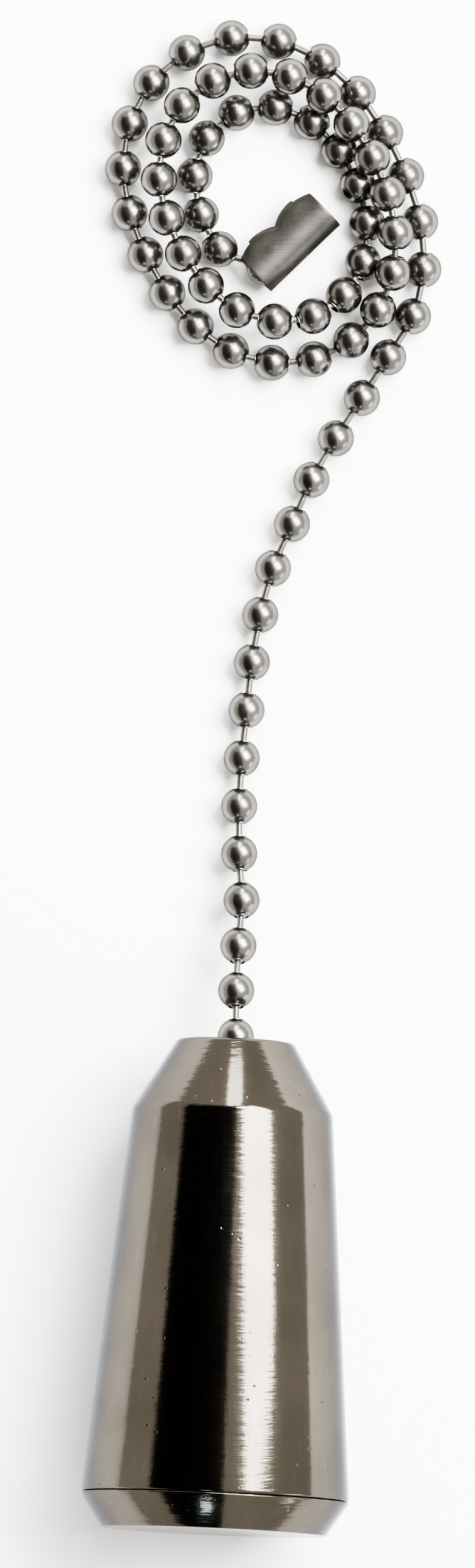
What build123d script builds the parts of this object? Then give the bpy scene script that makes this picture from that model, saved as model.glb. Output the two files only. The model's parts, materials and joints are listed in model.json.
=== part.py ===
"""Pull chain: a number 6 bead chain with a coupling on one end and a tapered metal knob on the other.

The chain lies on the plane z = 0. Its far end is a loose flat coil, its free stretch runs towards -Y, and the
knob lies on its conical side. Each bead is a hollow ball with two holes. Each link is a wire with a riveted
head on each end, and each head seats in a bead's hole like a ball joint.
"""
import os
from math import acos, asin, atan, cos, degrees, pi, radians, sin, sqrt

from build123d import *

os.makedirs("parts", exist_ok=True)

# ---- bead and link ----
BEAD_R = 1.6
BEAD_INNER_R = 1.38
BEAD_HOLE_R = 0.7
WIRE_R = 0.3
HEAD_R = 0.8
HEAD_BACK = 0.1
PITCH = 4.2
SEAT = 0.77
LINK_SPAN = PITCH - 2 * SEAT

# ---- coil, wound inwards: a shrinking oval whose centre drifts a little with each turn ----
COIL_X = 0.24
COIL_Y = 49.36
COIL_R = 14.55
COIL_GAIN = 2.95
DRIFT_X = 0.33
DRIFT_Y = 0.26
OVAL = 1.91
OVAL_LOSS = 0.45
OVAL_AT = 115.2
COIL_START = -49.6
COIL_END = 925
TAUT_BEADS = 8
SLACKING_BEADS = 18
TAUT_SLACK = 0.03
SLACK = 0.75
TURN_BEADS = [22, 19]
ANGLE_STEP = 0.02
RISE = 2.36
RISE_FROM = 286.5
RISE_TO = 352.8
FALL_FROM = 629.5
FALL_TO = 695.8

# ---- free stretch, from the coil to the knob: one heading and one climb for each link, in degrees ----
HEADINGS = [33, 33, 31, 23, 24, 15, 10, 6, 6, 3, 0, -4, 5, 3, 0, 2.6]
CLIMBS = [0, 0, 0, 0, 0, 0, 0, 0, 0, 3, 9, 15, 20, 23, 19]

# ---- knob, measured along its axis from the top face ----
TOP_R = 5.05
SHOULDER_R = 8.7
SHOULDER = 6.1
WIDE_R = 11.6
SEAM = 39.5
BASE_R = 9.7
KNOB_LENGTH = 42.5
EDGE_ROUND = 0.35
ROOF = 2.0
CHAIN_HOLE_R = 2.0
WALL = 3.0
CAVITY_STEP = 2.0
SPIGOT_DEPTH = 3.0
SPIGOT_R = 9.2
SPIGOT_WALL = 1.2
SPIGOT_RELIEF = 0.4
SEAT_LIP = 0.6
CAP_PLATE = 1.4
CAP_EDGE = 0.05
PRESS_GAP = 0.02
BEAD_PROUD = 0.4
TAPER = atan((WIDE_R - SHOULDER_R) / (SEAM - SHOULDER))
HOLE_HEIGHT = SHOULDER_R * cos(TAPER) - SHOULDER * sin(TAPER)

# ---- chain stop: collar crimped on the last bead, under the knob's roof ----
STOP_R = 3.0
STOP_GAP = 0.03
STOP_EDGE = 0.5
STOP_MOUTH_R = 1.1
STOP_PLATE = 0.35

# ---- coupling: rolled sheet sleeve with a ball socket in each half ----
SLEEVE_R = 1.95
SHEET = 0.3
SLEEVE_BEHIND = 1.1
SLEEVE_AHEAD = 7.3
SLEEVE_HEADING = 44
EAR_R = 2.6
EAR_GAP = 0.3
EAR_SPREAD = 90
EAR_INNER_SPREAD = 76
SLOT = 1.1
SLOT_PAST = 0.45
END_LINK_HEADING = -22


def unit(v):
    return v * (1 / v.length)


def flat(angle):
    """Level direction at an angle from +X, in degrees."""
    return Vector(cos(radians(angle)), sin(radians(angle)), 0)


def towards_knob(heading, climb):
    """Direction of a link that heads down the chain, turned from -Y and climbing off the floor."""
    h, c = radians(heading), radians(climb)
    return Vector(-sin(h) * cos(c), -cos(h) * cos(c), sin(c))


def stand(origin, direction):
    """Plane whose Z runs along a direction."""
    side = Vector(0, 0, 1).cross(direction)
    return Plane(origin=origin, x_dir=unit(side), z_dir=direction)


# ---- shapes, each turned about its own Z ----
def turned(*edges):
    """Solid turned from a closed outline drawn in X (radius) and Z."""
    return revolve(make_face(edges), Axis.Z)


def polyline(*points):
    return [Line((a[0], 0, a[1]), (b[0], 0, b[1])) for a, b in zip(points, points[1:])]


def bow(start, middle, end):
    return ThreePointArc(*[(p[0], 0, p[1]) for p in (start, middle, end)])


def make_bead():
    """Hollow ball with a hole at each end of its Z axis."""
    outer = sqrt(BEAD_R**2 - BEAD_HOLE_R**2)
    inner = sqrt(BEAD_INNER_R**2 - BEAD_HOLE_R**2)
    shell = bow((BEAD_HOLE_R, -outer), (BEAD_R, 0), (BEAD_HOLE_R, outer))
    lining = bow((BEAD_HOLE_R, inner), (BEAD_INNER_R, 0), (BEAD_HOLE_R, -inner))
    upper = polyline((BEAD_HOLE_R, outer), (BEAD_HOLE_R, inner))
    lower = polyline((BEAD_HOLE_R, -inner), (BEAD_HOLE_R, -outer))
    return turned(shell, lining, *upper, *lower)


def make_link():
    """Wire with a domed head on each end: each dome is centred on its seat, at z = 0 and z = LINK_SPAN."""
    back_r = sqrt(HEAD_R**2 - HEAD_BACK**2)
    neck = sqrt(HEAD_R**2 - WIRE_R**2)
    halfway = (asin(HEAD_BACK / HEAD_R) + acos(WIRE_R / HEAD_R)) / 2
    dome_x, dome_z = HEAD_R * cos(halfway), HEAD_R * sin(halfway)
    top = LINK_SPAN
    lower = bow((back_r, HEAD_BACK), (dome_x, dome_z), (WIRE_R, neck))
    upper = bow((WIRE_R, top - neck), (dome_x, top - dome_z), (back_r, top - HEAD_BACK))
    edges = polyline((0, top - HEAD_BACK), (0, HEAD_BACK), (back_r, HEAD_BACK))
    edges += [lower] + polyline((WIRE_R, neck), (WIRE_R, top - neck)) + [upper]
    edges += polyline((back_r, top - HEAD_BACK), (0, top - HEAD_BACK))
    return turned(*edges)


def has_radius(edge, radius):
    return abs(edge.radius - radius) < 0.01


def make_knob_body():
    """Turned cup with the chain's hole in its roof and a recess for the base cap's spigot."""
    cup_end = SEAM - SPIGOT_DEPTH
    outline = [
        (CHAIN_HOLE_R, 0), (TOP_R, 0), (SHOULDER_R, SHOULDER), (WIDE_R, SEAM), (SPIGOT_R, SEAM),
        (SPIGOT_R, cup_end), (WIDE_R - WALL - SEAT_LIP, cup_end), (SHOULDER_R - WALL, SHOULDER + CAVITY_STEP),
        (STOP_R + SEAT_LIP, ROOF), (CHAIN_HOLE_R, ROOF), (CHAIN_HOLE_R, 0),
    ]
    body = turned(*polyline(*outline))
    corners = body.edges().filter_by(GeomType.CIRCLE)
    soft = [e for e in corners if has_radius(e, TOP_R) or has_radius(e, SHOULDER_R)]
    soft += [e for e in corners if has_radius(e, CHAIN_HOLE_R) and e.center().Z < ROOF / 2]
    return fillet(soft, EDGE_ROUND)


def make_base_cap():
    """Flat end plate with a chamfered edge and a spigot that presses into the knob's recess."""
    spigot = SPIGOT_R - PRESS_GAP
    inside = spigot - SPIGOT_WALL
    tip = SEAM - SPIGOT_DEPTH + SPIGOT_RELIEF
    plate = KNOB_LENGTH - CAP_PLATE
    outline = [
        (0, KNOB_LENGTH), (BASE_R, KNOB_LENGTH), (WIDE_R, SEAM + CAP_EDGE), (WIDE_R, SEAM), (spigot, SEAM),
        (spigot, tip), (inside, tip), (inside, plate), (0, plate), (0, KNOB_LENGTH),
    ]
    cap = turned(*polyline(*outline))
    return fillet([e for e in cap.edges().filter_by(GeomType.CIRCLE) if has_radius(e, BASE_R)], EDGE_ROUND)


def make_chain_stop():
    """Collar around the last bead, turned in at both ends; z = 0 is the bead's centre."""
    pocket = BEAD_R + STOP_GAP
    low = sqrt(pocket**2 - STOP_MOUTH_R**2)
    lining = bow((STOP_MOUTH_R, low), (pocket, 0), (STOP_MOUTH_R, -low))
    end = low + STOP_PLATE
    side, edge = STOP_R - STOP_EDGE, end - STOP_EDGE
    edges = polyline(
        (STOP_MOUTH_R, -low), (STOP_MOUTH_R, -end), (side, -end), (STOP_R, -edge),
        (STOP_R, edge), (side, end), (STOP_MOUTH_R, end), (STOP_MOUTH_R, low),
    )
    return turned(lining, *edges)


def make_coupling():
    """Sleeve along Z with its captured ball at z = 0 and its ears on the +X side."""
    length = SLEEVE_BEHIND + SLEEVE_AHEAD
    half = (length - EAR_GAP) / 2
    standing = (Align.CENTER, Align.CENTER, Align.MIN)
    whole = Pos(0, 0, -SLEEVE_BEHIND) * Cylinder(SLEEVE_R, length, align=standing)
    hollow = Pos(0, 0, -SLEEVE_BEHIND - 1) * Cylinder(SLEEVE_R - SHEET, length + 2, align=standing)
    starts = (-SLEEVE_BEHIND, -SLEEVE_BEHIND + half + EAR_GAP)
    for start in starts:
        whole += make_ear(start, start + half, SLEEVE_R, EAR_R, EAR_SPREAD)
    for start in starts:
        low, high = start + SHEET, start + half - SHEET
        hollow += make_ear(low, high, SLEEVE_R - SHEET, EAR_R - SHEET, EAR_INNER_SPREAD)
    reach = SLEEVE_BEHIND + SLOT_PAST + 1
    slot = Box(2 * SLEEVE_R, SLOT, reach, align=(Align.MIN, Align.CENTER, Align.MIN))
    return whole - hollow - Pos(0, 0, -SLEEVE_BEHIND - 1) * slot - Pos(0, 0, SLEEVE_AHEAD + 1 - reach) * slot


def make_ear(low, high, edge_r, crown_r, spread):
    """Wedge of a barrel that bulges on the +X side."""
    crown = bow((edge_r, low), (crown_r, (low + high) / 2), (edge_r, high))
    sides = polyline((edge_r, high), (0, high), (0, low), (edge_r, low))
    wedge = revolve(make_face([crown, *sides]), Axis.Z, revolution_arc=spread)
    return Rot(0, 0, -spread / 2) * wedge


# ---- where the chain lies ----
def ease(angle, low, high):
    """0 before one angle, 1 after the other and a smooth step between them."""
    part = min(1, max(0, (angle - low) / (high - low)))
    return (1 - cos(pi * part)) / 2


def coil_point(angle):
    """Point of the coil's route at an angle, in degrees; the angle runs on through the turns."""
    turns = angle / 360
    r = COIL_R - COIL_GAIN * turns + (OVAL - OVAL_LOSS * turns) * cos(radians(2 * (angle - OVAL_AT)))
    lift = RISE * (ease(angle, RISE_FROM, RISE_TO) - ease(angle, FALL_FROM, FALL_TO))
    return Vector(COIL_X + DRIFT_X * turns, COIL_Y + DRIFT_Y * turns, BEAD_R + lift) + flat(angle) * r


def coil_beads():
    """Bead centres from the outer end inwards: taut at first, then slacker."""
    angle = COIL_START
    beads = [coil_point(angle)]
    while angle < COIL_END:
        slack = min(1, max(0, (len(beads) - TAUT_BEADS) / SLACKING_BEADS))
        step = PITCH - TAUT_SLACK - SLACK * slack
        while (coil_point(angle) - beads[-1]).length < step:
            angle += ANGLE_STEP
        beads.append(coil_point(angle))
    return beads


def stretch(start, before):
    """Free stretch whose climb is scaled until the knob's hole is at the height of the lying knob."""
    low, high = 0.5, 1.5
    for _ in range(40):
        scale = (low + high) / 2
        run = walk_stretch(start, before, scale)
        if run["hole"].Z < HOLE_HEIGHT:
            low = scale
        else:
            high = scale
    return run


def walk_stretch(start, before, scale):
    """Bead centres, bead directions and link starts down the free stretch, for a given climb."""
    links = [towards_knob(h, c * scale) for h, c in zip(HEADINGS, CLIMBS)]
    links.append(towards_knob(HEADINGS[-1], degrees(TAPER)))
    coil_axis = unit(unit(start - before) + links[0])
    seat = start + coil_axis * SEAT
    beads, axes, seats = [], [], []
    for here, after in zip(links, links[1:] + [links[-1]]):
        seats.append(seat)
        axis = unit(here + after)
        centre = seat + here * LINK_SPAN + axis * SEAT
        beads.append(centre)
        axes.append(axis)
        seat = centre + axis * SEAT
    hole = seats[-1] + links[-1] * (BEAD_PROUD - SEAT)
    return {
        "links": links, "beads": beads, "axes": axes, "seats": seats,
        "hole": hole, "coil_axis": coil_axis,
    }


coil = coil_beads()
end_step = flat(END_LINK_HEADING) * PITCH
end_bead = coil[-1] + Vector(end_step.X, end_step.Y, SLEEVE_R - BEAD_R)
run = stretch(coil[0], coil[1])
knob_axis = run["links"][-1]


def slack_link(a, axis_a, b, axis_b):
    """Start and direction of the link between two beads, with both of its heads equally deep in them."""
    gap, both = b - a, axis_a + axis_b
    across = gap.dot(both)
    depth = (across - sqrt(across**2 - both.dot(both) * (gap.dot(gap) - LINK_SPAN**2))) / both.dot(both)
    seat = a + axis_a * depth
    return seat, unit(b - axis_b * depth - seat)


bead = make_bead()
link = make_link()


def place(shape, origin, direction):
    return stand(origin, direction) * shape


# ---- write each piece ----
pieces = {}
coil_run = coil + [end_bead]
axes = [run["coil_axis"] * -1]
for before, here, after in zip(coil_run, coil_run[1:], coil_run[2:]):
    axes.append(unit(unit(here - before) + unit(after - here)))
axes.append(unit(end_bead - coil[-1]))
cuts = [0, TURN_BEADS[0], sum(TURN_BEADS), len(coil)]
for turn, (first, last) in enumerate(zip(cuts, cuts[1:])):
    name = ("outer", "middle", "inner")[turn]
    turn_beads = [place(bead, coil[i], axes[i]) for i in range(first, last)]
    spans = [slack_link(coil_run[i], axes[i], coil_run[i + 1], axes[i + 1]) for i in range(first, last)]
    pieces[f"coil_beads_{name}"] = Compound(children=turn_beads)
    pieces[f"coil_links_{name}"] = Compound(children=[place(link, a, along) for a, along in spans])
pieces["end_bead"] = place(bead, end_bead, axes[-1])

for i, (centre, axis) in enumerate(zip(run["beads"][:-1], run["axes"]), 1):
    pieces[f"bead_{i:02d}"] = place(bead, centre, axis)
for i, (seat, along) in enumerate(zip(run["seats"], run["links"]), 1):
    pieces[f"link_{i:02d}"] = place(link, seat, along)
pieces["stop_bead"] = place(bead, run["beads"][-1], knob_axis)

knob_place = stand(run["hole"], knob_axis)
pieces["chain_stop"] = place(make_chain_stop(), run["beads"][-1], knob_axis)
pieces["knob_body"] = knob_place * make_knob_body()
pieces["base_cap"] = knob_place * make_base_cap()

sleeve_axis = flat(SLEEVE_HEADING)
coupling_place = Plane(origin=end_bead, x_dir=flat(SLEEVE_HEADING + 90), z_dir=sleeve_axis)
pieces["coupling"] = coupling_place * make_coupling()

for name, piece in pieces.items():
    export_step(piece, f"parts/{name}.step")
print(len(coil), "coil beads and", len(pieces), "nodes")
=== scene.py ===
"""Pull chain: a nickel bead chain in a loose coil, its coupling and a black nickel knob, on a pale floor."""
import json
import math

import bmesh
import bpy
from bpy.props import FloatProperty, FloatVectorProperty, IntProperty, PointerProperty
from mathutils import Matrix, Vector


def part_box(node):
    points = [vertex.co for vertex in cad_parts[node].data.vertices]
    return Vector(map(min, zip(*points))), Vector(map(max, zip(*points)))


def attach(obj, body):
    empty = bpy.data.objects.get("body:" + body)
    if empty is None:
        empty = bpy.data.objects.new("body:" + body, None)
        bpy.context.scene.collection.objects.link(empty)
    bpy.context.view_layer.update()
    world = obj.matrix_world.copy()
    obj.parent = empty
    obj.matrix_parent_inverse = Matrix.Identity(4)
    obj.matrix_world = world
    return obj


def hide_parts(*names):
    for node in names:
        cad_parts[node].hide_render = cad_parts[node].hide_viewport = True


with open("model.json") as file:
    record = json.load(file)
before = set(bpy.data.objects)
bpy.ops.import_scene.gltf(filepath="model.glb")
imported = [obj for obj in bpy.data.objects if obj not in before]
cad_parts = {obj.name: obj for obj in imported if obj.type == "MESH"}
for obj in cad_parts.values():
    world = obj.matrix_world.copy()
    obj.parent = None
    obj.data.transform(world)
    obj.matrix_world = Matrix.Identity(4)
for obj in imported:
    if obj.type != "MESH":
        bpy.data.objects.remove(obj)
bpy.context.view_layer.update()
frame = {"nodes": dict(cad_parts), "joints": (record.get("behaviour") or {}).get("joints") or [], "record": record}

bl_info = {
    "name": "Pull chain",
    "version": (1, 0, 0),
    "blender": (4, 5, 0),
    "location": "View3D > Sidebar > Pull chain",
    "description": "Builds the looks of a bead pull chain around its packed model",
    "category": "Object",
}

JOINTS = {joint["name"]: joint for joint in frame["joints"]}
MOUNTS = {mount["name"]: mount for mount in frame["record"]["mounts"]}
MM = 0.001
STRETCH_BEADS = 15
COIL_ANGLE_STEP = 0.02
EDGE_TINT = (0.34, 0.34, 0.34)
KNOB_EDGE_TINT = (0.47, 0.48, 0.51)

# Details of the pieces, in millimetres.
LIP_WIDTH = 0.07
HOLE_DEPTH = 0.5
SOCKET_R, SOCKET_DEPTH = 9.2, 3
CAVITY_R, CAVITY_TOP_R = 8.0, 3.6
SPIGOT_R, SPIGOT_WALL, SPIGOT_DEPTH = 9.18, 1.2, 2.6
CAP_WALL, CAP_FACE_R, CAP_CENTRE_R = 1.4, 2.0, 0.05
SEAM_STEP, SEAM_GROOVE = 0.08, 0.12

# The coupling's ears: rows along the sleeve, columns on each side of the ear and degrees between columns.
EAR_ROWS = 32
EAR_COLUMNS = 8
EAR_COLUMN_DEGREES = 7.5
LEAST_BULGE = 0.002
SLOT_PAST_BALL = 0.45

# The camera's place over the last bead of the stretch, in millimetres.
VIEW_ASIDE, VIEW_AHEAD, CHAIN_HEIGHT = 0.15, 21.9, 1.6


# ---- where things are, read from the frame ----
def pivot(joint):
    return Vector(JOINTS[joint]["pos_m"])


def middle(node):
    low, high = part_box(node)
    return (Vector(low) + Vector(high)) / 2


def facing(origin, direction, side=None):
    """Matrix that stands a piece modelled in millimetres along Z at an origin, with Z along a direction."""
    z = direction.normalized()
    x = (side or Vector((0, 0, 1)).cross(z)).normalized()
    y = z.cross(x)
    turn = Matrix((x, y, z)).transposed().to_4x4()
    return Matrix.Translation(origin) @ turn @ Matrix.Scale(MM, 4)


# ---- sizes and colours that a user may change ----
def length(name, text, value):
    return FloatProperty(name=name, description=text, default=value, min=0, unit="LENGTH", precision=5)


def angle(name, text, degrees):
    return FloatProperty(name=name, description=text, default=math.radians(degrees), unit="ROTATION")


def colour(name, text, value):
    return FloatVectorProperty(name=name, description=text, default=value, size=3, min=0, max=1,
                               subtype="COLOR")


class ChainSizes(bpy.types.PropertyGroup):
    bead_radius: length("Bead radius", "Outside radius of a bead", 0.0016)
    hole_radius: length("Hole radius", "Radius of a bead's two holes", 0.0007)
    lip: length("Hole lip", "How far the pressed lip stands out round a hole", 0.00005)
    pitch: length("Pitch", "Distance between two beads of the taut chain", 0.0042)
    segments: IntProperty(name="Segments", description="Facets round a bead", default=32, min=12, max=64)


class CoilSizes(bpy.types.PropertyGroup):
    centre_x: length("Centre X", "Middle of the coil", 0.00024)
    centre_y: length("Centre Y", "Middle of the coil", 0.04936)
    radius: length("Radius", "Mean radius at the coil's outer end", 0.01455)
    gain: length("Gain", "How much the radius falls in each turn", 0.00295)
    drift_x: length("Drift X", "How far the middle moves along X in each turn", 0.00033)
    drift_y: length("Drift Y", "How far the middle moves along Y in each turn", 0.00026)
    oval: length("Oval", "How far the turns are drawn out into an oval", 0.00191)
    oval_loss: length("Oval loss", "How much rounder each turn is", 0.00045)
    oval_at: angle("Oval direction", "Direction of the long axis", 115.2)
    start: angle("Start", "Where the outer turn begins", -49.6)
    end: angle("End", "Where the inner turn ends", 925)
    rise: length("Rise", "How high the middle turn rides over its neighbours", 0.00236)
    rise_from: angle("Rise from", "Where the chain starts to rise", 286.5)
    rise_to: angle("Rise to", "Where the chain is up", 352.8)
    fall_from: angle("Fall from", "Where the chain starts to fall", 629.5)
    fall_to: angle("Fall to", "Where the chain is down", 695.8)
    taut_slack: length("Play", "How much closer than the pitch taut beads lie", 0.00003)
    slack: length("Slack", "How much closer the beads of the inner turns lie", 0.00075)
    taut_beads: IntProperty(name="Taut beads", description="Beads before the chain slackens", default=8)
    slacking_beads: IntProperty(name="Slacking beads", description="Beads over which it slackens", default=18)


class KnobSizes(bpy.types.PropertyGroup):
    hole_radius: length("Hole radius", "Radius of the chain's hole", 0.002)
    roof: length("Roof", "Thickness of the metal round the hole", 0.002)
    top_radius: length("Top radius", "Radius of the top face", 0.00505)
    shoulder_radius: length("Shoulder radius", "Radius where the top slope ends", 0.0087)
    shoulder: length("Shoulder height", "Height of the top slope", 0.0061)
    wide_radius: length("Widest radius", "Radius at the seam", 0.0116)
    seam: length("Seam", "Distance from the top face to the seam", 0.0395)
    base_radius: length("Base radius", "Radius of the base face", 0.0097)
    total: length("Length", "Length of the whole knob", 0.0425)
    rounding: length("Edge rounding", "Radius of the softened edges", 0.0003)
    facets: IntProperty(name="Facets", description="Facets round the knob", default=160, min=32, max=256)


class CouplingSizes(bpy.types.PropertyGroup):
    radius: length("Radius", "Outside radius of the sleeve", 0.00195)
    sheet: length("Sheet", "Thickness of the strip", 0.0003)
    behind: length("Behind the ball", "Sleeve behind the captured ball", 0.0011)
    ahead: length("Ahead of the ball", "Sleeve ahead of the captured ball", 0.0073)
    ear: length("Ear", "How far an ear bulges from the sleeve", 0.00065)
    slot: length("Slot", "Width of the slot that the link passes", 0.0011)


class FinishColours(bpy.types.PropertyGroup):
    nickel: colour("Nickel", "Bright nickel of the beads", (0.100, 0.096, 0.089))
    wire: colour("Wire", "Nickel of the link wires", (0.090, 0.085, 0.076))
    sheet: colour("Sheet", "Dull nickel of the coupling", (0.045, 0.043, 0.039))
    black_nickel: colour("Black nickel", "Plate on the knob", (0.049, 0.043, 0.034))
    brass: colour("Brass", "Bare brass of the chain stop", (0.68, 0.50, 0.24))
    floor: colour("Floor", "Pale floor", (0.86, 0.86, 0.86))


class StageSettings(bpy.types.PropertyGroup):
    view_height: length("Framed length", "Length that fills the picture's height", 0.1366)
    camera_height: length("Camera height", "Height of the camera over the chain", 1.2)
    key_power: FloatProperty(name="Key power", description="Power of the large softbox", default=72.0,
                             unit="POWER")


# ---- mesh work, in millimetres ----
def start_piece():
    if bpy.context.object and bpy.context.object.mode != "OBJECT":
        bpy.ops.object.mode_set(mode="OBJECT")
    bpy.ops.object.select_all(action="DESELECT")


def edit(mode="FACE"):
    bpy.ops.object.mode_set(mode="EDIT")
    bpy.ops.mesh.select_mode(type=mode)
    bpy.ops.mesh.select_all(action="DESELECT")


def leave_edit():
    bpy.ops.object.mode_set(mode="OBJECT")


def pick(kind, test):
    """Selects the faces or verts of the mesh in edit mode whose middle passes a test."""
    bpy.ops.mesh.select_all(action="DESELECT")
    shape = bmesh.from_edit_mesh(bpy.context.object.data)
    found = 0
    for item in getattr(shape, kind):
        spot = item.calc_center_median() if kind == "faces" else item.co
        if test(spot):
            item.select_set(True)
            found += 1
    shape.select_flush_mode()
    bmesh.update_edit_mesh(bpy.context.object.data)
    return found


def push(rise):
    bpy.ops.mesh.extrude_region_move(TRANSFORM_OT_translate={"value": (0, 0, rise)})


def scale_about(factor, centre):
    bpy.ops.transform.resize(value=factor, center_override=centre)


def apply_modifier(kind, **settings):
    piece = bpy.context.object
    modifier = piece.modifiers.new(kind.title(), kind)
    for key, value in settings.items():
        setattr(modifier, key, value)
    bpy.ops.object.modifier_apply(modifier=modifier.name)


def settle(piece, name, place, finish):
    """Puts a finished piece's place in its mesh and gives it its finish."""
    if piece.mode == "EDIT":
        leave_edit()
    piece.data.transform(place)
    piece.name = name
    piece.data.name = name
    piece.data.materials.clear()
    piece.data.materials.append(finish)
    return piece


def copy_of(master, name, place, finish):
    piece = master.copy()
    piece.data = master.data.copy()
    bpy.context.collection.objects.link(piece)
    return settle(piece, name, place, finish)


def drop(piece):
    mesh = piece.data
    bpy.data.objects.remove(piece)
    bpy.data.meshes.remove(mesh)


def join(pieces, name):
    start_piece()
    for piece in pieces:
        piece.select_set(True)
    bpy.context.view_layer.objects.active = pieces[0]
    bpy.ops.object.join()
    whole = bpy.context.object
    whole.name = name
    whole.data.name = name
    return whole


def turned_ring(outline, facets):
    """Closed ring of metal: a circle is extruded and scaled from one point of the outline to the next."""
    start_piece()
    radius, height = outline[0]
    bpy.ops.mesh.primitive_circle_add(vertices=facets, radius=radius, location=(0, 0, 0))
    edit("VERT")
    bpy.ops.mesh.select_all(action="SELECT")
    bpy.ops.transform.translate(value=(0, 0, height))
    for next_radius, next_height in outline[1:]:
        push(next_height - height)
        factor = next_radius / radius
        scale_about((factor, factor, 1), (0, 0, next_height))
        radius, height = next_radius, next_height
    bpy.ops.mesh.select_all(action="SELECT")
    bpy.ops.mesh.remove_doubles(threshold=0.001)
    bpy.ops.mesh.normals_make_consistent(inside=False)
    leave_edit()
    return bpy.context.object


def soften(width, segments, degrees=20):
    apply_modifier("BEVEL", width=width, segments=segments, limit_method="ANGLE",
                   angle_limit=math.radians(degrees), harden_normals=False)
    bpy.ops.object.shade_smooth_by_angle(angle=math.radians(35))


# ---- shader work ----
class Wire:
    """A shader socket that takes part in arithmetic."""

    def __init__(self, bench, socket):
        self.bench = bench
        self.socket = socket

    def maths(self, operation, *values, swap=False):
        terms = [self, *values]
        if swap:
            terms.reverse()
        return self.bench.add("ShaderNodeMath", {"operation": operation}, dict(enumerate(terms)))

    def __add__(self, other):
        return self.maths("ADD", other)

    def __radd__(self, other):
        return self.maths("ADD", other)

    def __rsub__(self, other):
        return self.maths("SUBTRACT", other, swap=True)

    def __mul__(self, other):
        return self.maths("MULTIPLY", other)

    def step(self, low, high):
        """0 below low, 1 above high and smooth between them."""
        inputs = {"Value": self, "From Min": low, "From Max": high}
        return self.bench.add("ShaderNodeMapRange", {"interpolation_type": "SMOOTHSTEP"}, inputs)


class Bench:
    """Builds one material's nodes."""

    def __init__(self, name):
        self.material = bpy.data.materials.new(name)
        self.material.use_nodes = True
        self.tree = self.material.node_tree
        self.shader = self.tree.nodes["Principled BSDF"]

    def add(self, kind, settings=None, inputs=None, output=0):
        node = self.tree.nodes.new(kind)
        for key, value in (settings or {}).items():
            setattr(node, key, value)
        for key, value in (inputs or {}).items():
            self.feed(node.inputs[key], value)
        return Wire(self, node.outputs[output])

    def feed(self, socket, value):
        if isinstance(value, Wire):
            self.tree.links.new(value.socket, socket)
        elif hasattr(value, "__len__") and len(value) == 3 and socket.type == "RGBA":
            socket.default_value = (*value, 1)
        else:
            socket.default_value = value

    def place(self, scale=(1, 1, 1), turn=(0, 0, 0), origin=(0, 0, 0)):
        """Object coordinates, measured from an origin, turned and scaled."""
        where = self.add("ShaderNodeTexCoord", output="Object")
        moved = self.add("ShaderNodeMapping", {"vector_type": "POINT"},
                         {"Vector": where, "Location": tuple(-v for v in origin)})
        return self.add("ShaderNodeMapping", {"vector_type": "POINT"},
                        {"Vector": moved, "Rotation": turn, "Scale": scale})

    def noise(self, where, scale, detail=3.0, roughness=0.55):
        return self.add("ShaderNodeTexNoise", {}, {"Vector": where, "Scale": scale, "Detail": detail,
                                                    "Roughness": roughness})

    def cells(self, where, scale):
        return self.add("ShaderNodeTexVoronoi", {"feature": "F1"}, {"Vector": where, "Scale": scale})

    def mix(self, factor, first, second):
        node = self.tree.nodes.new("ShaderNodeMix")
        node.data_type = "RGBA"
        for key, value in ((0, factor), (6, first), (7, second)):
            self.feed(node.inputs[key], value)
        return Wire(self, node.outputs[2])

    def bump(self, height, distance, strength=1.0, normal=None):
        inputs = {"Height": height, "Distance": distance, "Strength": strength}
        if normal is not None:
            inputs["Normal"] = normal
        return self.add("ShaderNodeBump", {}, inputs)

    def set(self, **values):
        for key, value in values.items():
            self.feed(self.shader.inputs[key.replace("_", " ")], value)
        return self.material


class Room(Bench):
    """Builds the surroundings' nodes."""

    def __init__(self, name):
        self.world = bpy.data.worlds.new(name)
        self.world.use_nodes = True
        self.tree = self.world.node_tree
        self.shader = self.tree.nodes["Background"]


def shade(value, factor):
    return tuple(v * factor for v in value)


def bead_nickel(colours):
    """Bright nickel on pressed beads: faint tarnish, tiny dents and rubbed spots."""
    bench = Bench("bead_nickel")
    where = bench.place()
    cloud = bench.noise(where, 900, 3)
    grain = bench.noise(where, 6000, 2)
    rubbed = bench.noise(where, 300, 2).step(0.45, 0.75)
    tarnish = bench.mix(cloud.step(0.35, 0.8), tuple(colours.nickel), shade(colours.nickel, 0.62))
    bright = bench.mix(rubbed * 0.4, tarnish, shade(colours.nickel, 1.35))
    dents = bench.noise(where, 1500, 2) * 0.6 + grain * 0.4
    return bench.set(Base_Color=bright, Metallic=1.0, Roughness=0.15 + cloud * 0.16, Specular_Tint=EDGE_TINT,
                     Normal=bench.bump(dents, 0.00003, 0.35))


def link_wire(colours):
    """Drawn wire, a little duller than the beads."""
    bench = Bench("link_wire")
    where = bench.place()
    lines = bench.noise(where, 4000, 3)
    cloud = bench.noise(where, 800, 2)
    tone = bench.mix(cloud.step(0.3, 0.8), tuple(colours.wire), shade(colours.wire, 0.6))
    return bench.set(Base_Color=tone, Metallic=1.0, Roughness=0.24 + lines * 0.2,
                     Normal=bench.bump(lines, 0.00002, 0.4))


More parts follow.
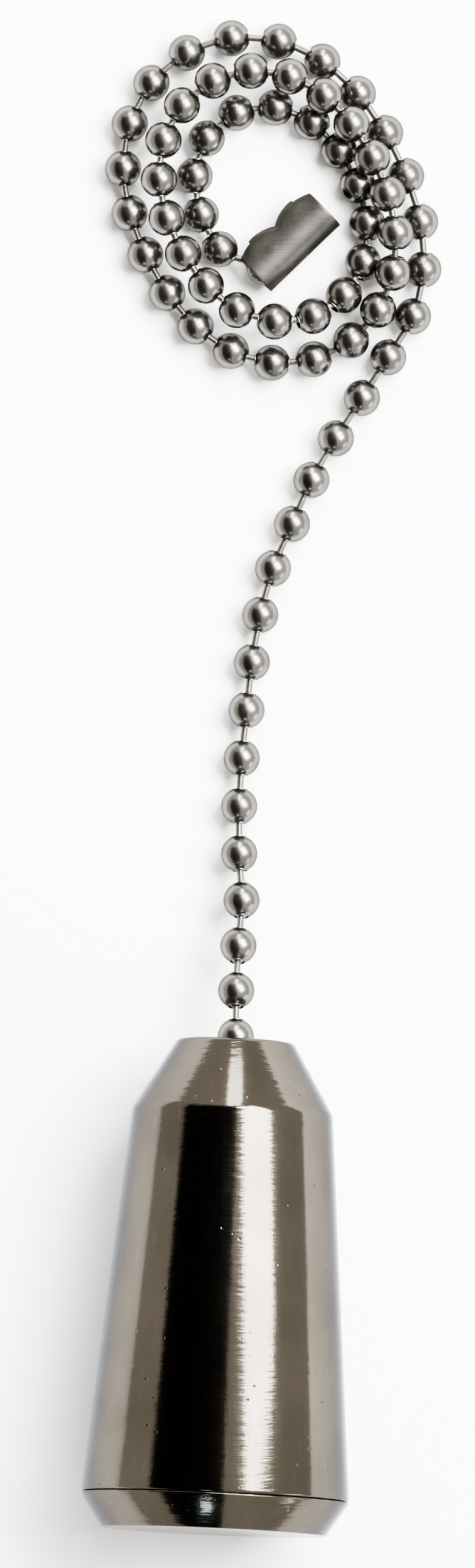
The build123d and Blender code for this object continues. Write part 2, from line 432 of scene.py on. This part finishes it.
def coupling_sheet(colours):
    """Dull nickel on rolled strip, with fine drawing lines along the sleeve, darker clouds and dark specks."""
    bench = Bench("coupling_sheet")
    along = math.atan2(MOUNTS["coupling_socket"]["axis"][1], MOUNTS["coupling_socket"]["axis"][0])
    lines = bench.noise(bench.place(scale=(250, 5200, 5200), turn=(0, 0, -along)), 1.0, 4)
    cloud = bench.noise(bench.place(), 500, 3)
    specks = bench.cells(bench.place(), 2600).step(0.16, 0.05)
    tone = bench.mix(cloud.step(0.3, 0.75), tuple(colours.sheet), shade(colours.sheet, 0.6))
    tone = bench.mix(specks * 0.35, tone, shade(colours.sheet, 0.25))
    return bench.set(Base_Color=tone, Metallic=1.0, Roughness=0.34 + lines * 0.16, Specular_Tint=EDGE_TINT,
                     Normal=bench.bump(lines * 0.7 + cloud * 0.3, 0.00004, 0.45))


def black_nickel(colours, name, origin, direction):
    """Black nickel over a brushed casting: lengthwise streaks, fine pits and worn bright spots."""
    bench = Bench(name)
    turn = direction.to_track_quat("Y", "Z").inverted().to_euler()
    streak_place = bench.place(scale=(1700, 60, 1700), turn=tuple(turn), origin=tuple(origin))
    streaks = bench.noise(streak_place, 1.0, 5, 0.6)
    teeth = bench.noise(bench.place(scale=(380, 2400, 380), turn=tuple(turn), origin=tuple(origin)), 1.0, 3)
    wide = bench.noise(bench.place(scale=(420, 40, 420), turn=tuple(turn), origin=tuple(origin)), 1.0, 3)
    cloud = bench.noise(bench.place(), 160, 4)
    pits = bench.cells(bench.place(), 900)
    pit_mask = pits.step(0.14, 0.04) * bench.noise(bench.place(), 420, 2).step(0.5, 0.6)
    tone = bench.mix(cloud.step(0.3, 0.75), tuple(colours.black_nickel), shade(colours.black_nickel, 0.78))
    tone = bench.mix(streaks.step(0.55, 0.8) * 0.4, tone, shade(colours.black_nickel, 1.5))
    tone = bench.mix(pit_mask * 0.7, tone, shade(colours.black_nickel, 0.25))
    rough = 0.055 + cloud * 0.06 + streaks * 0.05
    surface = streaks * 0.15 + teeth * 0.7 + wide * 0.15
    dented = bench.bump(pit_mask, -0.00006, 0.5)
    return bench.set(Base_Color=tone, Metallic=1.0, Roughness=rough,
                     Specular_Tint=KNOB_EDGE_TINT, Normal=bench.bump(surface, 0.00003, 1.0, dented))


def turned_brass(colours):
    """Bare turned brass of the hidden chain stop."""
    bench = Bench("turned_brass")
    rings = bench.noise(bench.place(scale=(900, 9000, 900)), 1.0, 3)
    cloud = bench.noise(bench.place(), 700, 3)
    tone = bench.mix(cloud.step(0.3, 0.8), tuple(colours.brass), shade(colours.brass, 0.55))
    return bench.set(Base_Color=tone, Metallic=1.0, Roughness=0.28 + rings * 0.15,
                     Normal=bench.bump(rings, 0.00002, 0.4))


FINISHES = {}


def finish(name):
    """The named finish, made when it is first asked for."""
    if name not in FINISHES:
        colours = bpy.context.scene.pull_chain_colours
        base = Vector(MOUNTS["base_face"]["pos_m"])
        axis = Vector(MOUNTS["base_face"]["axis"])
        makers = {
            "bead": lambda: bead_nickel(colours),
            "wire": lambda: link_wire(colours),
            "sheet": lambda: coupling_sheet(colours),
            "knob": lambda: black_nickel(colours, "knob_black_nickel", base, axis),
            "cap": lambda: black_nickel(colours, "cap_black_nickel", base, axis),
            "brass": lambda: turned_brass(colours),
        }
        FINISHES[name] = makers[name]()
    return FINISHES[name]


# ---- pieces ----
def model_bead():
    """Bead with its hole axis along Z: a ball whose two caps are flattened, lipped and sunk into holes."""
    sizes = bpy.context.scene.pull_chain_chain
    ball, hole, lip = sizes.bead_radius / MM, sizes.hole_radius / MM, sizes.lip / MM
    start_piece()
    bpy.ops.mesh.primitive_uv_sphere_add(segments=sizes.segments, ring_count=21, radius=ball,
                                         location=(0, 0, 0))
    edit()
    rim = math.sqrt(ball**2 - hole**2)
    for side in (1, -1):
        pick("faces", lambda spot: spot.z * side > rim - 0.01)
        scale_about((1, 1, 0), (0, 0, rim * side))
        push(lip * side)
        bpy.ops.mesh.inset(thickness=LIP_WIDTH)
        push(-HOLE_DEPTH * side)
    bpy.ops.mesh.select_all(action="SELECT")
    bpy.ops.mesh.normals_make_consistent(inside=False)
    leave_edit()
    bpy.ops.object.shade_smooth_by_angle(angle=math.radians(40))
    return bpy.context.object


def coil_centres():
    """Bead centres of the coil from its outer end inwards: taut at first, then slacker."""
    sizes, chain = bpy.context.scene.pull_chain_coil, bpy.context.scene.pull_chain_chain

    def ease(turned, low, high):
        part = min(1, max(0, (turned - low) / (high - low)))
        return (1 - math.cos(math.pi * part)) / 2

    def point(turned):
        turns = turned / math.tau
        r = sizes.radius - sizes.gain * turns
        r += (sizes.oval - sizes.oval_loss * turns) * math.cos(2 * (turned - sizes.oval_at))
        lift = ease(turned, sizes.rise_from, sizes.rise_to) - ease(turned, sizes.fall_from, sizes.fall_to)
        x = sizes.centre_x + sizes.drift_x * turns + r * math.cos(turned)
        y = sizes.centre_y + sizes.drift_y * turns + r * math.sin(turned)
        return Vector((x, y, chain.bead_radius + sizes.rise * lift))

    turned = sizes.start
    beads = [point(turned)]
    while turned < sizes.end:
        slack = min(1, max(0, (len(beads) - sizes.taut_beads) / sizes.slacking_beads))
        step = chain.pitch - sizes.taut_slack - sizes.slack * slack
        while (point(turned) - beads[-1]).length < step:
            turned += math.radians(COIL_ANGLE_STEP)
        beads.append(point(turned))
    return beads


def link_direction(number):
    """Direction of a stretch link, from the coil towards the knob."""
    start = pivot(f"tilt_{number:02d}")
    if number > STRETCH_BEADS:
        return (middle("stop_bead") - start).normalized()
    return (pivot(f"swing_{number:02d}") - start).normalized()


class PULLCHAIN_OT_stage(bpy.types.Operator):
    """Lays the floor, hangs the lights and sets the camera over the chain"""
    bl_idname = "pull_chain.stage"
    bl_label = "Stage"

    def execute(self, context):
        settings = context.scene.pull_chain_stage
        start_piece()
        self.lay_floor()
        self.hang_lights(settings)
        self.dim_room(context)
        self.set_camera(context, settings)
        return {"FINISHED"}

    def lay_floor(self):
        bpy.ops.mesh.primitive_plane_add(size=6, location=(0, 0, 0))
        floor = bpy.context.object
        floor.name = "floor"
        bench = Bench("pale_floor")
        colours = bpy.context.scene.pull_chain_colours
        paper = bench.noise(bench.place(), 30, 3)
        tone = bench.mix(paper, tuple(colours.floor), shade(colours.floor, 0.985))
        floor.data.materials.append(bench.set(Base_Color=tone, Roughness=0.9, Specular_IOR_Level=0.1))

    def hang_lights(self, settings):
        power = settings.key_power
        self.softbox("key_softbox", towards=(0.468, 0.309, 0.828), distance=0.7,
                     width=0.56, height=0.32, power=power)
        self.softbox("far_softbox", towards=(0.06, 0.84, 0.54), distance=0.75,
                     width=0.17, height=0.46, power=power * 0.20)
        self.softbox("side_window", towards=(0.72, -0.52, 0.22), distance=0.9,
                     width=0.4, height=0.22, power=power * 0.08)
        self.softbox("small_window", towards=(-0.13, -0.84, 0.52), distance=0.8,
                     width=0.07, height=0.05, power=power * 0.009, tint=(0.6, 0.8, 1.0))

    def softbox(self, name, towards, distance, width, height, power, tint=(1, 1, 1)):
        direction = Vector(towards).normalized()
        light = bpy.data.lights.new(name, "AREA")
        light.shape = "RECTANGLE"
        light.size = width
        light.size_y = height
        light.energy = power
        light.color = tint
        lamp = bpy.data.objects.new(name, light)
        bpy.context.collection.objects.link(lamp)
        lamp.rotation_euler = direction.to_track_quat("Z", "Y").to_euler()
        lamp.location = direction * distance

    def dim_room(self, context):
        """Brownish walls round a dark ceiling that ends sharply beside the key softbox."""
        sky = Room("room")
        context.scene.world = sky.world
        where = sky.add("ShaderNodeTexCoord", output="Generated")
        x, y, z = [sky.add("ShaderNodeSeparateXYZ", inputs={0: where}, output=axis) for axis in range(3)]
        across = x.maths("ARCTAN2", z)
        dark = across.step(-1.08, -1.0) * (1 - across.step(0.10, 0.13)) * (1 - y.step(0.55, 0.75))
        haze = sky.noise(where, 3, 2)
        wall = sky.mix(haze, (1.0, 0.95, 0.86), (0.86, 0.81, 0.73))
        sky.feed(sky.shader.inputs["Color"], sky.mix(dark, wall, (0.006, 0.004, 0.004)))
        sky.shader.inputs["Strength"].default_value = 3.2

    def set_camera(self, context, settings):
        camera = bpy.data.cameras.new("camera")
        camera.sensor_width = 36
        camera.lens = camera.sensor_width * settings.camera_height / settings.view_height
        camera.clip_start = 0.01
        eye = bpy.data.objects.new("camera", camera)
        context.collection.objects.link(eye)
        bead = middle(f"bead_{STRETCH_BEADS:02d}")
        height = settings.camera_height + CHAIN_HEIGHT * MM
        eye.location = (bead.x + VIEW_ASIDE * MM, bead.y + VIEW_AHEAD * MM, height)
        context.scene.camera = eye


class PULLCHAIN_OT_coil(bpy.types.Operator):
    """Makes the beads of the loose coil and its captured bead, and gives the coil's links their finish"""
    bl_idname = "pull_chain.coil"
    bl_label = "Coil"

    def execute(self, context):
        centres = coil_centres()
        end = pivot("coupling_swing")
        master = model_bead()
        run = centres + [end]
        before = middle("bead_01")
        beads = []
        for number, here in enumerate(centres):
            after = run[number + 1]
            if number == 0:
                axis = -link_direction(1) + (after - here).normalized()
            else:
                axis = (here - before).normalized() + (after - here).normalized()
            beads.append(copy_of(master, f"coil_bead_{number}", facing(here, axis), finish("bead")))
            before = here
        coil = join(beads, "coil_beads")
        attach(coil, "coil")
        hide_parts("coil_beads_outer", "coil_beads_middle", "coil_beads_inner")
        last = copy_of(master, "captured_bead", facing(end, end - centres[-1]), finish("bead"))
        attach(last, "coil")
        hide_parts("end_bead")
        drop(master)
        links = [frame["nodes"][f"coil_links_{turn}"] for turn in ("outer", "middle", "inner")]
        for node in links:
            for place in node.material_slots:
                place.material = finish("wire")
        return {"FINISHED"}


class PULLCHAIN_OT_stretch(bpy.types.Operator):
    """Makes the beads of the free stretch, one for each moving bead"""
    bl_idname = "pull_chain.stretch"
    bl_label = "Free stretch"

    def execute(self, context):
        master = model_bead()
        for number in range(1, STRETCH_BEADS + 1):
            node = f"bead_{number:02d}"
            axis = link_direction(number) + link_direction(number + 1)
            bead = copy_of(master, f"{node}_shell", facing(middle(node), axis), finish("bead"))
            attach(bead, node)
            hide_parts(node)
        drop(master)
        return {"FINISHED"}


class PULLCHAIN_OT_links(bpy.types.Operator):
    """Gives the links, the stop bead and the chain stop their finishes"""
    bl_idname = "pull_chain.links"
    bl_label = "Links and stop"

    def execute(self, context):
        wanted = {f"link_{number:02d}": "wire" for number in range(1, STRETCH_BEADS + 2)}
        wanted.update({"stop_bead": "bead", "chain_stop": "brass"})
        for node, name in wanted.items():
            for place in frame["nodes"][node].material_slots:
                place.material = finish(name)
        return {"FINISHED"}


class PULLCHAIN_OT_knob(bpy.types.Operator):
    """Turns the tapered knob body"""
    bl_idname = "pull_chain.knob"
    bl_label = "Knob body"

    def execute(self, context):
        sizes = context.scene.pull_chain_knob
        hole, roof, top = sizes.hole_radius / MM, sizes.roof / MM, sizes.top_radius / MM
        shoulder_r, shoulder = sizes.shoulder_radius / MM, sizes.shoulder / MM
        wide, seam = sizes.wide_radius / MM, sizes.seam / MM
        socket = seam - SOCKET_DEPTH
        outline = [(hole, roof), (hole, 0), (top, 0), (shoulder_r, shoulder), (wide, seam), (SOCKET_R, seam),
                   (SOCKET_R, socket), (CAVITY_R, socket), (shoulder_r - 3, shoulder + 2),
                   (CAVITY_TOP_R, roof), (hole, roof)]
        knob = turned_ring(outline, sizes.facets)
        soften(sizes.rounding / MM, 4)
        base = Vector(MOUNTS["base_face"]["pos_m"])
        axis = Vector(MOUNTS["base_face"]["axis"])
        settle(knob, "knob_shell", facing(base - axis * sizes.total, axis), finish("knob"))
        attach(knob, "knob")
        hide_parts("knob_body")
        return {"FINISHED"}


class PULLCHAIN_OT_cap(bpy.types.Operator):
    """Turns the base cap that closes the knob"""
    bl_idname = "pull_chain.cap"
    bl_label = "Base cap"

    def execute(self, context):
        sizes = context.scene.pull_chain_knob
        total, seam = sizes.total / MM, sizes.seam / MM
        base_r, wide = sizes.base_radius / MM, sizes.wide_radius / MM
        inside, tip = total - CAP_WALL, seam - SPIGOT_DEPTH
        outline = [(CAP_CENTRE_R, total), (CAP_FACE_R, total), (base_r, total), (wide, seam + SEAM_GROOVE),
                   (wide - SEAM_STEP, seam), (SPIGOT_R, seam), (SPIGOT_R, tip), (SPIGOT_R - SPIGOT_WALL, tip),
                   (SPIGOT_R - SPIGOT_WALL, inside), (CAP_CENTRE_R, inside)]
        cap = turned_ring(outline, sizes.facets)
        edit("VERT")
        for height in (total, inside):
            pick("verts", lambda spot: spot.xy.length < 0.06 and abs(spot.z - height) < 0.01)
            bpy.ops.mesh.merge(type="CENTER")
        bpy.ops.mesh.select_all(action="SELECT")
        bpy.ops.mesh.normals_make_consistent(inside=False)
        leave_edit()
        soften(sizes.rounding * 0.8 / MM, 4)
        base = Vector(MOUNTS["base_face"]["pos_m"])
        axis = Vector(MOUNTS["base_face"]["axis"])
        settle(cap, "cap_shell", facing(base - axis * sizes.total, axis), finish("cap"))
        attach(cap, "knob")
        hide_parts("base_cap")
        return {"FINISHED"}


class PULLCHAIN_OT_coupling(bpy.types.Operator):
    """Rolls the sheet coupling with its two ears"""
    bl_idname = "pull_chain.coupling"
    bl_label = "Coupling"

    def execute(self, context):
        sizes = context.scene.pull_chain_coupling
        radius, sheet, ear = sizes.radius / MM, sizes.sheet / MM, sizes.ear / MM
        low, high = -sizes.behind / MM, sizes.ahead / MM
        half = (high - low) / 2
        start_piece()
        bpy.ops.mesh.primitive_cylinder_add(vertices=48, radius=radius, depth=high - low,
                                            end_fill_type="NOTHING", location=(0, 0, (high + low) / 2))
        bpy.ops.object.transform_apply(location=True, rotation=False, scale=False)
        edit("VERT")
        for row in range(1, EAR_ROWS):
            bpy.ops.mesh.select_all(action="SELECT")
            height = low + (high - low) * row / EAR_ROWS
            bpy.ops.mesh.bisect(plane_co=(0, 0, height), plane_no=(0, 0, 1))
        for row in range(EAR_ROWS + 1):
            height = low + (high - low) * row / EAR_ROWS
            share = ((height - low) % half) / half if row % EAR_ROWS else 0
            bulge = ear * math.sin(math.pi * share) ** 0.8
            for column in range(-EAR_COLUMNS, EAR_COLUMNS + 1):
                spread = math.radians(column * EAR_COLUMN_DEGREES)
                across, up = math.cos(spread), math.sin(spread)
                spot = Vector((radius * across, radius * up, height))
                falloff = math.cos(spread * 1.5) ** 2 if abs(column) < EAR_COLUMNS else 0
                if bulge * falloff < LEAST_BULGE:
                    continue
                if pick("verts", lambda at: (at - spot).length < 0.05):
                    move = (bulge * falloff * across, bulge * falloff * up, 0)
                    bpy.ops.transform.translate(value=move)
        reach = sizes.behind / MM + SLOT_PAST_BALL
        edge = sizes.slot / MM / 2
        bpy.ops.mesh.select_mode(type="FACE")
        pick("faces", lambda at: at.x > 0 and abs(at.y) < edge and not low + reach <= at.z <= high - reach)
        bpy.ops.mesh.delete(type="FACE")
        bpy.ops.mesh.select_all(action="SELECT")
        bpy.ops.mesh.normals_make_consistent(inside=False)
        leave_edit()
        apply_modifier("SOLIDIFY", thickness=sheet, offset=-1, use_even_offset=True)
        apply_modifier("BEVEL", width=0.06, segments=2, limit_method="ANGLE", angle_limit=math.radians(50))
        bpy.ops.object.shade_smooth_by_angle(angle=math.radians(40))
        sleeve = bpy.context.object
        axis = Vector(MOUNTS["coupling_socket"]["axis"])
        side = Vector((0, 0, 1)).cross(axis)
        settle(sleeve, "coupling_sleeve", facing(pivot("coupling_swing"), axis, side), finish("sheet"))
        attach(sleeve, "coupling")
        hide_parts("coupling")
        return {"FINISHED"}


class PULLCHAIN_PT_panel(bpy.types.Panel):
    """Lists the steps that build the pull chain"""
    bl_label = "Pull chain"
    bl_idname = "PULLCHAIN_PT_panel"
    bl_space_type = "VIEW_3D"
    bl_region_type = "UI"
    bl_category = "Pull chain"

    def draw(self, context):
        for step in STEPS:
            self.layout.operator(step.bl_idname)
        for group in GROUPS:
            box = self.layout.box()
            for key in GROUPS[group].__annotations__:
                box.prop(getattr(context.scene, group), key)


STEPS = (PULLCHAIN_OT_stage, PULLCHAIN_OT_coupling, PULLCHAIN_OT_coil, PULLCHAIN_OT_stretch,
         PULLCHAIN_OT_links, PULLCHAIN_OT_knob, PULLCHAIN_OT_cap)
GROUPS = {
    "pull_chain_chain": ChainSizes,
    "pull_chain_coil": CoilSizes,
    "pull_chain_knob": KnobSizes,
    "pull_chain_coupling": CouplingSizes,
    "pull_chain_colours": FinishColours,
    "pull_chain_stage": StageSettings,
}


def register():
    for group, kind in GROUPS.items():
        bpy.utils.register_class(kind)
        setattr(bpy.types.Scene, group, PointerProperty(type=kind))
    for kind in (*STEPS, PULLCHAIN_PT_panel):
        bpy.utils.register_class(kind)


def unregister():
    for kind in (PULLCHAIN_PT_panel, *reversed(STEPS)):
        bpy.utils.unregister_class(kind)
    for group, kind in GROUPS.items():
        delattr(bpy.types.Scene, group)
        bpy.utils.unregister_class(kind)


def main():
    register()
    bpy.ops.pull_chain.stage()
    bpy.ops.pull_chain.coupling()
    bpy.ops.pull_chain.coil()
    bpy.ops.pull_chain.stretch()
    bpy.ops.pull_chain.links()
    bpy.ops.pull_chain.knob()
    bpy.ops.pull_chain.cap()


if __name__ == "__main__":
    main()
